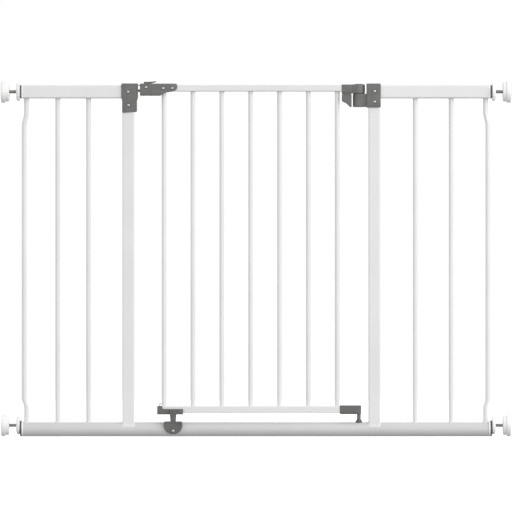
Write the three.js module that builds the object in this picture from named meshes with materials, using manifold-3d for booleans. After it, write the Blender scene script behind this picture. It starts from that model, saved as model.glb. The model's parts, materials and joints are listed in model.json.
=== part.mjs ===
// Pressure-fit safety gate for a wide doorway: a welded tube frame wedged between two walls by
// four threaded bolts, with a barred door that swings on two pins and locks with a sprung bolt.
//
// Millimetres. X runs across the doorway from the latch side to the hinge side, Y runs away from
// the side that the door opens to, and Z is up from the floor. The origin is on the floor, at the
// middle of the doorway.

import * as THREE from 'three';
import { mergeVertices } from 'three/addons/utils/BufferGeometryUtils.js';
import Module from 'manifold-3d';

const wasm = await Module();
wasm.setup();

// ---------------------------------------------------------------- driving dimensions

const WALL_TO_WALL = 1080;
const FIT_GAP = 0.3;                 // between pieces that rest on a curved or cut neighbour

const TUBE = { radius: 15, wall: 1.5, sides: 32 };
const FRAME_END = 493.2;             // where the tube and the panel rails end, either side
const RAIL = { height: 27.8, depth: 25, wall: 1.5, corner: 3 };
const RAIL_TOP = 744.3;
const RAIL_UNDER = RAIL_TOP - RAIL.height;
const POST = { width: 25, wall: 1.5, corner: 2.5 };
const LATCH_POST_X = -270.5;
const HINGE_POST_X = 250.9;

const BAR = { radius: 5, wall: 1, sides: 12 };
const LEFT_BAR_XS = [-420.3, -355];
const RIGHT_BAR_XS = [337.6, 413.7];
const SIDE_BAR = { main: 491.5, end: 486.5, topBend: [658, 687], bottomBend: [61, 81], bendSteps: 4 };

const DOOR_RAIL = { height: 14, depth: 21, wall: 1.5, corner: 2, left: -200.5 };
const DOOR_TOP_Z = 745;              // upper face of the door's top rail
const DOOR_BOTTOM_Z = 50;            // lower face of its bottom rail
const DOOR_BARS = { count: 7, first: -194.9, pitch: 61.16 };

const HINGE_X = 218;                 // the door's vertical swing axis, at y = 0
const PIN_RADIUS = 4;
const PIN_SIDES = 16;

const ROD = { radius: 4, inner: 438, outer: 536, sides: 12 };
const UPPER_ROD_Z = (RAIL_TOP + RAIL_UNDER) / 2;
const LOWER_ROD_Z = 23.5;            // above the tube's middle, so that the pad clears the floor
const WHEEL = { radius: 19.5, inner: 500.5, outer: 508, sides: 24 };
const PAD = { radius: 23.3, step: 20.7, inner: 523, sides: 24 };

const COVER_DEPTH = 15.5;            // half depth of the covers round the posts
const LATCH_DEPTH = 14;              // half depth of the latch housing round the door's rail
const RIVET = { shank: 2, head: 3.4, dome: 1.6, sides: 12 };

// Latch: the lever turns about the first rivet and its foot draws the bolt.
const LEVER_PIVOT = { x: -233.1, z: 739.5 };
const BOLT = { tip: -253.5, shoulder: -243.7, back: -214, bottom: 724.2, top: 733.4 };
const SPRING_WALL_X = -204.5;

// ---------------------------------------------------------------- materials

const whitePaint = new THREE.MeshStandardMaterial({ color: 0xf1f1ef, roughness: 0.38, metalness: 0 });
const greyPlastic = new THREE.MeshStandardMaterial({ color: 0x5d5d5b, roughness: 0.55, metalness: 0 });
const darkPlastic = new THREE.MeshStandardMaterial({ color: 0x3a3a3a, roughness: 0.6, metalness: 0 });
const whitePlastic = new THREE.MeshStandardMaterial({ color: 0xf4f2ea, roughness: 0.4, metalness: 0 });
const steel = new THREE.MeshStandardMaterial({ color: 0xb4b4b2, roughness: 0.3, metalness: 1 });
const rubber = new THREE.MeshStandardMaterial({ color: 0x262626, roughness: 0.85, metalness: 0 });

// ---------------------------------------------------------------- solids and placing

function signedVolume(positions, triangles) {
  const [a, b, c] = [new THREE.Vector3(), new THREE.Vector3(), new THREE.Vector3()];
  let total = 0;
  for (let i = 0; i < triangles.length; i += 3) {
    a.fromArray(positions, triangles[i] * 3);
    b.fromArray(positions, triangles[i + 1] * 3);
    c.fromArray(positions, triangles[i + 2] * 3);
    total += a.dot(b.cross(c));
  }
  return total;
}

// A closed geometry as a solid that can be joined and cut, with its faces turned outwards.
function solid(geometry) {
  const bare = geometry.clone();
  bare.deleteAttribute('normal');
  bare.deleteAttribute('uv');
  const merged = mergeVertices(bare, 1e-4);
  const positions = Float32Array.from(merged.attributes.position.array);
  const triangles = Uint32Array.from(merged.index.array);
  if (signedVolume(positions, triangles) < 0) {
    for (let i = 0; i < triangles.length; i += 3) {
      [triangles[i], triangles[i + 1]] = [triangles[i + 1], triangles[i]];
    }
  }
  return new wasm.Manifold(new wasm.Mesh({ numProp: 3, vertProperties: positions, triVerts: triangles }));
}

function piece(name, shape, material) {
  const result = shape.getMesh();
  const geometry = new THREE.BufferGeometry();
  geometry.setAttribute('position', new THREE.BufferAttribute(result.vertProperties, 3));
  geometry.setIndex(new THREE.BufferAttribute(result.triVerts, 1));
  geometry.computeVertexNormals();
  const mesh = new THREE.Mesh(geometry, material);
  mesh.name = name;
  return mesh;
}

function box([x0, x1], [y0, y1], [z0, z1]) {
  const geometry = new THREE.BoxGeometry(x1 - x0, y1 - y0, z1 - z0);
  return solid(geometry.translate((x0 + x1) / 2, (y0 + y1) / 2, (z0 + z1) / 2));
}

// The vertex radius of a prism whose flat sides are `radius` from its axis.
function aroundFlats(radius, sides) {
  return radius / Math.cos(Math.PI / sides);
}

// Prisms along each axis. The one along X has a flat side facing down.
function rodX(radius, [x0, x1], z, sides) {
  const geometry = new THREE.CylinderGeometry(radius, radius, x1 - x0, sides);
  geometry.rotateY(Math.PI / sides).rotateZ(Math.PI / 2);
  return solid(geometry.translate((x0 + x1) / 2, 0, z));
}

function rodY(radius, x, [y0, y1], z, sides) {
  const geometry = new THREE.CylinderGeometry(radius, radius, y1 - y0, sides);
  return solid(geometry.translate(x, (y0 + y1) / 2, z));
}

function rodZ(radius, x, [z0, z1], sides) {
  const geometry = new THREE.CylinderGeometry(radius, radius, z1 - z0, sides);
  return solid(geometry.rotateX(Math.PI / 2).translate(x, 0, (z0 + z1) / 2));
}

// A plate from an outline in X and Z, between two depths.
function plate(outline, [y0, y1], curveSegments = 6) {
  const geometry = new THREE.ExtrudeGeometry(outline, { depth: y1 - y0, bevelEnabled: false, curveSegments });
  return solid(geometry.rotateX(Math.PI / 2).translate(0, y1, 0));
}

// Turned shapes from a profile of [radius, distance along the axis].
function turned(profile, sides) {
  return new THREE.LatheGeometry(profile.map(([r, along]) => new THREE.Vector2(r, along)), sides);
}

function turnedX(profile, sides) {
  return solid(turned(profile, sides).rotateZ(-Math.PI / 2));
}

function turnedZ(profile, x, sides) {
  return solid(turned(profile, sides).rotateX(Math.PI / 2).translate(x, 0, 0));
}

function roundedRect(width, height, corner) {
  const [w, h] = [width / 2, height / 2];
  const shape = new THREE.Shape();
  shape.moveTo(-w + corner, -h);
  shape.lineTo(w - corner, -h);
  shape.absarc(w - corner, -h + corner, corner, -Math.PI / 2, 0);
  shape.absarc(w - corner, h - corner, corner, 0, Math.PI / 2);
  shape.absarc(-w + corner, h - corner, corner, Math.PI / 2, Math.PI);
  shape.absarc(-w + corner, -h + corner, corner, Math.PI, Math.PI * 1.5);
  return shape;
}

function prism(shape, length) {
  return new THREE.ExtrudeGeometry(shape, { depth: length, bevelEnabled: false, curveSegments: 1 });
}

// Rectangular tubes and bars: `along X` takes its height and depth, `along Z` its width and depth.
function barX({ height, depth, corner }, [x0, x1], z) {
  const geometry = prism(roundedRect(height, depth, corner), x1 - x0);
  return solid(geometry.rotateY(Math.PI / 2).translate(x0, 0, z));
}

function barZ({ width, depth, corner }, x, [z0, z1]) {
  return solid(prism(roundedRect(width, depth, corner), z1 - z0).translate(x, 0, z0));
}

function shrunk({ width, height, depth, corner }, wall) {
  return {
    width: width - 2 * wall,
    height: height - 2 * wall,
    depth: depth - 2 * wall,
    corner: Math.max(corner - wall, 0.5),
  };
}

function boxTubeX(section, [x0, x1], z) {
  const inside = shrunk(section, section.wall);
  return barX(section, [x0, x1], z).subtract(barX(inside, [x0 - 1, x1 + 1], z));
}

// The clearance that a piece standing on the bottom tube is cut to.
const tubeSaddle = rodX(
  aroundFlats(TUBE.radius + FIT_GAP, TUBE.sides), [-FRAME_END, FRAME_END], TUBE.radius, TUBE.sides);

const SADDLE_START = 20;             // below the tube's top, where the cut ends begin

function roundTubeZ(radius, wall, x, [z0, z1], sides) {
  return rodZ(radius, x, [z0, z1], sides).subtract(rodZ(radius - wall, x, [z0 - 1, z1 + 1], sides));
}

// A blind rivet with a domed head at either face; `faces` is the depth of the two faces.
function rivetAt(name, x, z, faces) {
  const { shank, head, dome, sides } = RIVET;
  const top = faces + dome;
  const profile = [
    [0, -top], [head * 0.6, -top + dome * 0.2], [head, -faces], [shank, -faces],
    [shank, faces], [head, faces], [head * 0.6, top - dome * 0.2], [0, top],
  ];
  return piece(name, solid(turned(profile, sides).translate(x, 0, z)), steel);
}

function rivetHole(x, z) {
  return rodY(RIVET.shank + FIT_GAP, x, [-COVER_DEPTH - 5, COVER_DEPTH + 5], z, RIVET.sides);
}

// ---------------------------------------------------------------- frame

const STRIKE_RIVETS = [[-271, 729.8], [-270.2, 701.3]];
const HINGE_RIVETS = [[251.1, 731], [251.1, 708.7]];
const POST_HALF = POST.width / 2;
const BUSH = { spigot: 5.1, collar: 7.3, top: 35.7, bottom: 20.5 };

function bottomTube() {
  const outer = aroundFlats(TUBE.radius, TUBE.sides);
  const span = [-FRAME_END, FRAME_END];
  const shell = rodX(outer, span, TUBE.radius, TUBE.sides)
    .subtract(rodX(outer - TUBE.wall, [-FRAME_END - 1, FRAME_END + 1], TUBE.radius, TUBE.sides));
  const bushHole = rodZ(BUSH.spigot + FIT_GAP, HINGE_X, [SADDLE_START, TUBE.radius * 2 + 1], PIN_SIDES);
  return piece('bottom_tube', shell.subtract(bushHole), whitePaint);
}

function post(name, x, rivets) {
  const section = { width: POST.width, height: 0, depth: POST.width, corner: POST.corner };
  const tube = barZ(section, x, [SADDLE_START, RAIL_TOP])
    .subtract(barZ(shrunk(section, POST.wall), x, [SADDLE_START - 1, RAIL_TOP + 1]))
    .subtract(tubeSaddle);
  return piece(name, rivets.reduce((left, [rx, rz]) => left.subtract(rivetHole(rx, rz)), tube), whitePaint);
}

function panelRail(name, span) {
  return piece(name, boxTubeX(RAIL, span, UPPER_ROD_Z), whitePaint);
}

function uprightBar(name, x, [z0, z1], onTube) {
  const bar = roundTubeZ(BAR.radius, BAR.wall, 0, [z0, z1], BAR.sides);
  const shape = onTube ? bar.subtract(tubeSaddle) : bar;
  const mesh = piece(name, shape, whitePaint);
  mesh.position.x = x;
  return mesh;
}

// The outermost bar steps outwards between its two ends. The path is stepped by its own
// parameter, so that its straight runs take one step each and its bends take several.
class SteppedPath extends THREE.Curve {
  constructor(points) {
    super();
    this.points = points;
  }

  getUtoTmapping(u) {
    return u;
  }

  getPoint(t, target = new THREE.Vector3()) {
    const place = t * (this.points.length - 1);
    const index = Math.min(Math.floor(place), this.points.length - 2);
    return target.lerpVectors(this.points[index], this.points[index + 1], place - index);
  }
}

function sideBar(name, side) {
  const { main, end, topBend, bottomBend, bendSteps } = SIDE_BAR;
  const points = [new THREE.Vector3(side * end, 0, SADDLE_START)];
  const addBend = ([z0, z1], fromX, toX) => {
    for (let i = 0; i <= bendSteps; i += 1) {
      const t = i / bendSteps;
      const ease = t * t * (3 - 2 * t);
      points.push(new THREE.Vector3(side * (fromX + (toX - fromX) * ease), 0, z0 + (z1 - z0) * t));
    }
  };
  addBend(bottomBend, end, main);
  addBend(topBend, main, end);
  points.push(new THREE.Vector3(side * end, 0, RAIL_UNDER));
  const ring = new THREE.Shape().absarc(0, 0, BAR.radius, 0, Math.PI * 2);
  ring.holes.push(new THREE.Path().absarc(0, 0, BAR.radius - BAR.wall, 0, Math.PI * 2));
  const swept = new THREE.ExtrudeGeometry(ring, {
    extrudePath: new SteppedPath(points),
    steps: points.length - 1,
    curveSegments: BAR.sides / 2,
  });
  return piece(name, solid(swept).subtract(tubeSaddle), whitePaint);
}

// Strike cover: two half shells round the latch post, with the mouth that the bolt enters.
function strikeCover(name, side) {
  const postRight = LATCH_POST_X + POST_HALF;
  const outline = new THREE.Shape();
  outline.moveTo(-283.5, 685.5);
  outline.lineTo(-256, 687.4);
  outline.quadraticCurveTo(-252.4, 687.8, -252.4, 691.5);
  outline.lineTo(-252.4, 712);
  outline.lineTo(-250.3, 718);
  outline.lineTo(-250.3, 747.7);
  outline.lineTo(-282.7, 747.7);
  outline.absarc(-282.7, 745.2, 2.5, Math.PI / 2, Math.PI);
  outline.lineTo(-285.2, 716);
  outline.lineTo(-283.5, 712);
  outline.closePath();
  const whole = plate(outline, [-COVER_DEPTH, COVER_DEPTH]);
  const inside = POST_HALF + FIT_GAP / 2;
  const cavity = box([-300, postRight + FIT_GAP], [-inside, inside], [600, RAIL_TOP + FIT_GAP]);
  const mouth = box([-251.8, -249], [-6, 6], [720, 746]);
  const boltWay = box([postRight, -249], [-4.6, 4.6], [728.8, 737]);
  const cut = [cavity, mouth, boltWay, ...STRIKE_RIVETS.map(([x, z]) => rivetHole(x, z))];
  return piece(name, half(cut.reduce((left, tool) => left.subtract(tool), whole), side), greyPlastic);
}

// The half of a solid that lies in front of (side -1) or behind (side 1) the middle plane.
function half(shape, side) {
  const reach = side < 0 ? [-100, 0] : [0, 100];
  return shape.intersect(box([-WALL_TO_WALL, WALL_TO_WALL], reach, [-10, 1000]));
}

// Hinge bracket: two half shells round the hinge post, with the lower knuckle that holds the pin.
const KNUCKLE = { radius: 12.6, bottom: 698, top: 726, pinFoot: 700.5 };

function hingeBracket(name, side) {
  const postLeft = HINGE_POST_X - POST_HALF;
  const outline = new THREE.Shape();
  outline.moveTo(236.4, 696.8);
  outline.lineTo(262.2, 696.8);
  outline.absarc(262.2, 698.8, 2, -Math.PI / 2, 0);
  outline.lineTo(264.2, 745.5);
  outline.absarc(262.2, 745.5, 2, 0, Math.PI / 2);
  outline.lineTo(235.4, 747.5);
  outline.lineTo(234.4, 746.5);
  outline.lineTo(234.4, 698.8);
  outline.absarc(236.4, 698.8, 2, Math.PI, Math.PI * 1.5);
  outline.closePath();
  const { radius, bottom, top, pinFoot } = KNUCKLE;
  const inside = POST_HALF + FIT_GAP / 2;
  const whole = plate(outline, [-COVER_DEPTH, COVER_DEPTH])
    .add(rodZ(radius, HINGE_X, [bottom, top], 32))
    .add(box([HINGE_X, 236], [-radius, radius], [bottom, top]));
  const cut = [
    box([postLeft - FIT_GAP, 280], [-inside, inside], [600, RAIL_TOP + FIT_GAP]),
    rodZ(PIN_RADIUS + FIT_GAP / 2, HINGE_X, [pinFoot - FIT_GAP, top + 1], PIN_SIDES),
    ...HINGE_RIVETS.map(([x, z]) => rivetHole(x, z)),
  ];
  return piece(name, half(cut.reduce((left, tool) => left.subtract(tool), whole), side), greyPlastic);
}

function upperHingePin() {
  const shape = rodZ(PIN_RADIUS, HINGE_X, [KNUCKLE.pinFoot, BARREL.boreTop - FIT_GAP], PIN_SIDES);
  return piece('upper_hinge_pin', shape, steel);
}

function lowerPivotBush() {
  const { spigot, collar, top, bottom } = BUSH;
  const flare = turnedZ([[0, 26], [collar, 26], [collar, 31], [5.9, 33.4], [5.1, 35], [5.1, top], [0, top]], HINGE_X, 24);
  const shape = flare
    .subtract(tubeSaddle)
    .add(rodZ(spigot, HINGE_X, [bottom, 32], PIN_SIDES))
    .subtract(rodZ(PIN_RADIUS + FIT_GAP, HINGE_X, [bottom - 1, top + 1], PIN_SIDES));
  return piece('lower_pivot_bush', shape, greyPlastic);
}

// ---------------------------------------------------------------- pressure bolts

// Each is modelled on the hinge side, about the X axis, and turned round for the latch side.
const PLUG = { tongue: 22, collar: 499.9, rim: 16.8, rimZ: 17 };

function endPlug(name, level) {
  const { tongue, collar, rim, rimZ } = PLUG;
  const inside = [FRAME_END - tongue, FRAME_END + 1];
  const round = level === 'lower';
  const body = round
    ? rodX(TUBE.radius - TUBE.wall - FIT_GAP, inside, TUBE.radius - LOWER_ROD_Z, TUBE.sides)
    : barX(shrunk(RAIL, RAIL.wall + FIT_GAP), inside, 0);
  const flange = round
    ? rodX(rim, [FRAME_END, collar], rimZ - LOWER_ROD_Z, TUBE.sides)
    : barX(RAIL, [FRAME_END, collar], 0);
  const way = rodX(ROD.radius + FIT_GAP, [0, WALL_TO_WALL], 0, ROD.sides);
  return piece(name, body.add(flange).subtract(way), darkPlastic);
}

function adjusterWheel(name) {
  const { radius, inner, outer, sides } = WHEEL;
  const bore = ROD.radius + FIT_GAP;
  const profile = [
    [bore, inner], [radius - 2, inner], [radius, inner + 2], [radius, outer - 2.5],
    [radius - 0.8, outer - 0.8], [radius - 2.5, outer], [bore, outer], [bore, inner],
  ];
  return piece(name, turnedX(profile, sides), whitePlastic);
}

function threadedRod(name) {
  const { radius, inner, outer, sides } = ROD;
  return piece(name, rodX(radius, [inner, outer], 0, sides), steel);
}

function wallPad(name) {
  const { radius, step, inner, sides } = PAD;
  const face = WALL_TO_WALL / 2;
  const bore = ROD.radius + FIT_GAP;
  const boreEnd = ROD.outer + FIT_GAP;
  const profile = [
    [0, boreEnd], [bore, boreEnd], [bore, inner], [step - 2, inner], [step, inner + 2],
    [step, inner + 7.5], [radius - 1, inner + 8.2], [radius, inner + 9.2], [radius, face - 1.2],
    [radius - 0.8, face], [0, face],
  ];
  return piece(name, turnedX(profile, sides), whitePlastic);
}

function pressureBolt(level, side) {
  const corner = `${level}_${side < 0 ? 'left' : 'right'}`;
  const bolt = new THREE.Group();
  bolt.add(endPlug(`${corner}_end_plug`, level));
  bolt.add(adjusterWheel(`${corner}_adjuster_wheel`));
  bolt.add(threadedRod(`${corner}_threaded_rod`));
  bolt.add(wallPad(`${corner}_wall_pad`));
  bolt.position.z = level === 'lower' ? LOWER_ROD_Z : UPPER_ROD_Z;
  bolt.rotation.z = side < 0 ? Math.PI : 0;
  return bolt;
}

// ---------------------------------------------------------------- door

const LATCH_RIVETS = [[-196.8, 737.3], [-177.8, 737.3]];
const TOP_RAIL_Z = DOOR_TOP_Z - DOOR_RAIL.height / 2;
const BOTTOM_RAIL_Z = DOOR_BOTTOM_Z + DOOR_RAIL.height / 2;
const ARM = { left: 181.6, halfDepth: 11, bottom: 727, top: 745.6 };
const BARREL = { radius: 12.9, boreTop: 745, domeTop: 747.3 };
const BLOCK = { left: 178, right: 222.9, bottom: 47, top: 65.5, halfDepth: 12, pinTop: 59.7 };
const TONGUE = 20;                   // how far the hinge pieces plug into the hollow rails

function doorTopRail() {
  const span = [DOOR_RAIL.left, ARM.left - FIT_GAP];
  const tube = boxTubeX(DOOR_RAIL, span, TOP_RAIL_Z);
  const drilled = LATCH_RIVETS.reduce((left, [x, z]) => left.subtract(rivetHole(x, z)), tube);
  return piece('door_top_rail', drilled, whitePaint);
}

function doorBottomRail() {
  const span = [DOOR_RAIL.left, BLOCK.left - FIT_GAP];
  return piece('door_bottom_rail', boxTubeX(DOOR_RAIL, span, BOTTOM_RAIL_Z), whitePaint);
}

function railTongue(start, z) {
  const section = shrunk(DOOR_RAIL, DOOR_RAIL.wall + FIT_GAP);
  return barX(section, [start - TONGUE, start + 1], z);
}

function doorHingeKnuckle() {
  const { left, halfDepth, bottom, top } = ARM;
  const depth = [-halfDepth, halfDepth];
  const barrel = turnedZ([
    [0, bottom], [BARREL.radius, bottom], [BARREL.radius, top - 1], [BARREL.radius - 1.2, top + 0.4],
    [8, BARREL.domeTop - 0.3], [0, BARREL.domeTop],
  ], HINGE_X, 32);
  const tab = new THREE.Shape();
  tab.moveTo(182, 723.6);
  tab.lineTo(182, 712.5);
  tab.quadraticCurveTo(182.3, 709.8, 185.5, 708.6);
  tab.lineTo(191, 706.3);
  tab.lineTo(200, 698);
  tab.lineTo(202.6, 698);
  tab.lineTo(202.6, 723.6);
  tab.closePath();
  const shape = box([left, HINGE_X], depth, [bottom, top])
    .add(barrel)
    .add(plate(tab, depth))
    .add(box([184, 202.6], [-halfDepth + 4, halfDepth], [723, bottom + 1]))
    .add(railTongue(left, TOP_RAIL_Z))
    .subtract(rodZ(PIN_RADIUS + FIT_GAP, HINGE_X, [bottom - 1, BARREL.boreTop], PIN_SIDES));
  return piece('door_hinge_knuckle', shape, greyPlastic);
}

function lowerPivotBlock() {
  const { left, right, bottom, top, halfDepth, pinTop } = BLOCK;
  const plan = new THREE.Shape();
  plan.moveTo(left, -halfDepth);
  plan.lineTo(right - 9, -halfDepth);
  plan.quadraticCurveTo(right, -halfDepth, right, -3);
  plan.lineTo(right, 3);
  plan.quadraticCurveTo(right, halfDepth, right - 9, halfDepth);
  plan.lineTo(left, halfDepth);
  plan.closePath();
  const shape = solid(prism(plan, top - bottom).translate(0, 0, bottom))
    .add(railTongue(left, BOTTOM_RAIL_Z))
    .subtract(rodZ(PIN_RADIUS + FIT_GAP / 2, HINGE_X, [bottom - 1, pinTop + FIT_GAP], PIN_SIDES));
  return piece('lower_pivot_block', shape, greyPlastic);
}

function lowerPivotPin() {
  return piece('lower_pivot_pin', rodZ(PIN_RADIUS, HINGE_X, [BUSH.bottom, BLOCK.pinTop], PIN_SIDES), steel);
}

function doorBars() {
  const bars = new THREE.Group();
  const span = [DOOR_BOTTOM_Z + DOOR_RAIL.height, DOOR_TOP_Z - DOOR_RAIL.height];
  for (let i = 0; i < DOOR_BARS.count; i += 1) {
    bars.add(uprightBar(`door_bar_${i + 1}`, DOOR_BARS.first + i * DOOR_BARS.pitch, span, false));
  }
  return bars;
}

// Latch housing: two half shells riveted through the door's top rail, holding the lever and bolt.
function latchCover(name, side) {
  const outline = new THREE.Shape();
  outline.moveTo(-245.8, 722.2);
  outline.lineTo(-203.6, 722.2);
  outline.lineTo(-190, 729.4);
  outline.lineTo(-170.9, 729.4);
  outline.quadraticCurveTo(-166.9, 732, -166.9, 738);
  outline.lineTo(-166.9, 743.4);
  outline.quadraticCurveTo(-166.9, 747.4, -170.9, 747.4);
  outline.lineTo(-245.8, 747.4);
  outline.closePath();
  const railHalf = DOOR_RAIL.depth / 2 + FIT_GAP;
  const railCut = [DOOR_TOP_Z - DOOR_RAIL.height - FIT_GAP, DOOR_TOP_Z + FIT_GAP];
  const boltHalf = 4.4;
  const leverHalf = LEVER.halfWidth + FIT_GAP;
  const whole = plate(outline, [-LATCH_DEPTH, LATCH_DEPTH])
    .add(box([-250, -244], [-4, 4], [743.2, 744.8]));
  const cut = [
    box([DOOR_RAIL.left - FIT_GAP, -150], [-railHalf, railHalf], railCut),
    rodZ(BAR.radius + FIT_GAP, DOOR_BARS.first, [700, railCut[1]], BAR.sides),
    box([-244, SPRING_WALL_X], [-boltHalf, boltHalf], [BOLT.bottom - 0.4, BOLT.top + 0.6]),
    box([-246.5, -243], [-boltHalf, boltHalf], [729.6, 735.8]),
    box([-243.6, -221.5], [-leverHalf, leverHalf], [BOLT.top, 750]),
    rivetHole(LEVER_PIVOT.x, LEVER_PIVOT.z),
    ...LATCH_RIVETS.map(([x, z]) => rivetHole(x, z)),
  ];
  return piece(name, half(cut.reduce((left, tool) => left.subtract(tool), whole), side), greyPlastic);
}

const LEVER = { halfWidth: 5, eye: 5.2, footHalf: 1.6, footWidth: 4, foot: 725.5 };

function thumbLever() {
  const { halfWidth, eye, footHalf, footWidth, foot } = LEVER;
  const { x, z } = LEVER_PIVOT;
  const head = new THREE.Shape();
  head.moveTo(x - 4.6, z);
  head.lineTo(x + 4.6, z);
  head.lineTo(x + 7.5, z + 7);
  head.lineTo(x + 10.8, z + 8.6);
  head.lineTo(x + 21.2, z + 11.3);
  head.lineTo(x + 21.2, z + 13.2);
  head.quadraticCurveTo(x + 14, z + 13.6, x + 9, z + 12);
  head.lineTo(x - 3.4, z + 12);
  head.quadraticCurveTo(x - 4.9, z + 12, x - 4.9, z + 10.5);
  head.closePath();
  const footBox = box(
    [x - footWidth / 2, x + footWidth / 2], [-footHalf, footHalf], [foot + 1, z]);
  const footTip = rodY(footWidth / 2, x, [-footHalf, footHalf], foot + footWidth / 2, 12);
  const shape = plate(head, [-halfWidth, halfWidth])
    .add(rodY(eye, x, [-halfWidth, halfWidth], z, 24))
    .add(footBox)
    .add(footTip)
    .subtract(rodY(RIVET.shank + FIT_GAP, x, [-20, 20], z, RIVET.sides));
  return piece('thumb_lever', shape, greyPlastic);
}

function latchBolt() {
  const { tip, shoulder, back, bottom, top } = BOLT;
  const footSlot = box([-240.4, -230.6], [-2.1, 2.1], [bottom - 1, top + 1]);
  const shape = box([tip, shoulder + 0.1], [-4, 4], [730, 735.4])
    .add(box([shoulder, back], [-4, 4], [bottom, top]))
    .subtract(footSlot);
  return piece('latch_bolt', shape, steel);
}

function latchSpring() {
  const [start, end, turns, radius, wire] = [BOLT.back + 0.6, SPRING_WALL_X - 0.6, 4, 3, 0.45];
  const middle = (BOLT.bottom + BOLT.top) / 2;
  class Coil extends THREE.Curve {
    getPoint(t, target = new THREE.Vector3()) {
      const angle = t * turns * Math.PI * 2;
      const x = start + (end - start) * t;
      return target.set(x, radius * Math.cos(angle), middle + radius * Math.sin(angle));
    }
  }
  const section = new THREE.Shape().absarc(0, 0, wire, 0, Math.PI * 2);
  const coil = new THREE.ExtrudeGeometry(section, {
    extrudePath: new Coil(), steps: turns * 10, curveSegments: 3,
  });
  return piece('latch_spring', solid(coil), steel);
}

// Stop: clips on the free end of the bottom rail and hangs in front of the bottom tube, so that
// the door can't swing through to the far side.
const STOP = { left: -209.4, right: -154.6, bottom: 46.6, face: -15.2, front: -20.5, disc: -16.6 };
const STOP_X = -175.5;
const STOP_RIVET_Z = 11.9;
const BUMPER = { radius: 6, face: -15.4, seat: -18.3 };

function stopBracket() {
  const { left, right, bottom, face, front, disc } = STOP;
  const railFront = -DOOR_RAIL.depth / 2 - FIT_GAP;
  const railBack = DOOR_RAIL.depth / 2 + 0.5;
  const railEnd = DOOR_RAIL.left - FIT_GAP;
  const arm = new THREE.Shape();
  arm.moveTo(left, bottom);
  arm.lineTo(right, bottom);
  arm.lineTo(right, 58.1);
  arm.lineTo(-192.5, 58.1);
  arm.quadraticCurveTo(-198, 58.3, -198.5, 64.2);
  arm.lineTo(left, 64.2);
  arm.closePath();
  const discTop = 32.2;
  const discHalf = 19.6;
  const corner = 3.5;
  const halfDisc = new THREE.Shape();
  halfDisc.moveTo(STOP_X - discHalf + corner, discTop);
  halfDisc.absarc(STOP_X - discHalf + corner, discTop - corner, corner, Math.PI / 2, Math.PI);
  halfDisc.absarc(STOP_X, 24.7, discHalf, Math.PI, Math.PI * 2);
  halfDisc.absarc(STOP_X + discHalf - corner, discTop - corner, corner, 0, Math.PI / 2);
  halfDisc.closePath();
  const stem = new THREE.Shape();
  stem.moveTo(STOP_X - 5.7, discTop - 1);
  stem.lineTo(STOP_X + 5.7, discTop - 1);
  stem.lineTo(STOP_X + 6.9, bottom);
  stem.lineTo(STOP_X + 6.9, 57);
  stem.lineTo(STOP_X - 6.9, 57);
  stem.lineTo(STOP_X - 6.9, bottom);
  stem.closePath();
  const shape = plate(arm, [face, railFront])
    .add(box([left, railEnd], [face, railBack], [bottom, 64.2]))
    .add(box([left, right], [face, railBack], [bottom, DOOR_BOTTOM_Z - FIT_GAP]))
    .add(box([-206, railEnd], [3, railBack], [60, 70.2]))
    .add(plate(stem, [front + 0.6, face + 1]))
    .add(plate(halfDisc, [front, disc], 12))
    .subtract(rodY(BUMPER.radius + FIT_GAP, STOP_X, [BUMPER.seat, -10], STOP_RIVET_Z, 20))
    .subtract(rodY(RIVET.shank, STOP_X, [-30, -10], STOP_RIVET_Z, RIVET.sides));
  return piece('stop_bracket', shape, greyPlastic);
}

function stopRivet() {
  const { front } = STOP;
  const shank = 1.6;
  const profile = [
    [0, front - 1.3], [1.8, front - 1.1], [3, front], [shank, front], [shank, BUMPER.face - 1],
    [0, BUMPER.face - 1],
  ];
  const shape = solid(turned(profile, RIVET.sides).translate(STOP_X, 0, STOP_RIVET_Z));
  return piece('stop_rivet', shape, steel);
}

function stopBumper() {
  const shape = rodY(BUMPER.radius, STOP_X, [BUMPER.seat + FIT_GAP, BUMPER.face], STOP_RIVET_Z, 20)
    .subtract(rodY(RIVET.shank, STOP_X, [-30, BUMPER.face - 0.7], STOP_RIVET_Z, RIVET.sides));
  return piece('stop_bumper', shape, rubber);
}

// ---------------------------------------------------------------- assembly

function frame() {
  const group = new THREE.Group();
  const barSpan = [SADDLE_START, RAIL_UNDER];
  group.add(bottomTube());
  group.add(post('latch_post', LATCH_POST_X, STRIKE_RIVETS));
  group.add(post('hinge_post', HINGE_POST_X, HINGE_RIVETS));
  group.add(panelRail('left_top_rail', [-FRAME_END, LATCH_POST_X - POST_HALF]));
  group.add(panelRail('right_top_rail', [HINGE_POST_X + POST_HALF, FRAME_END]));
  group.add(sideBar('left_side_bar', -1));
  group.add(sideBar('right_side_bar', 1));
  LEFT_BAR_XS.forEach((x, i) => group.add(uprightBar(`left_bar_${i + 1}`, x, barSpan, true)));
  RIGHT_BAR_XS.forEach((x, i) => group.add(uprightBar(`right_bar_${i + 1}`, x, barSpan, true)));
  group.add(strikeCover('strike_cover_front', -1));
  group.add(strikeCover('strike_cover_back', 1));
  STRIKE_RIVETS.forEach(([x, z], i) => group.add(rivetAt(`strike_rivet_${i + 1}`, x, z, COVER_DEPTH)));
  group.add(hingeBracket('hinge_bracket_front', -1));
  group.add(hingeBracket('hinge_bracket_back', 1));
  HINGE_RIVETS.forEach(([x, z], i) => group.add(rivetAt(`hinge_rivet_${i + 1}`, x, z, COVER_DEPTH)));
  group.add(upperHingePin());
  group.add(lowerPivotBush());
  return group;
}

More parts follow.
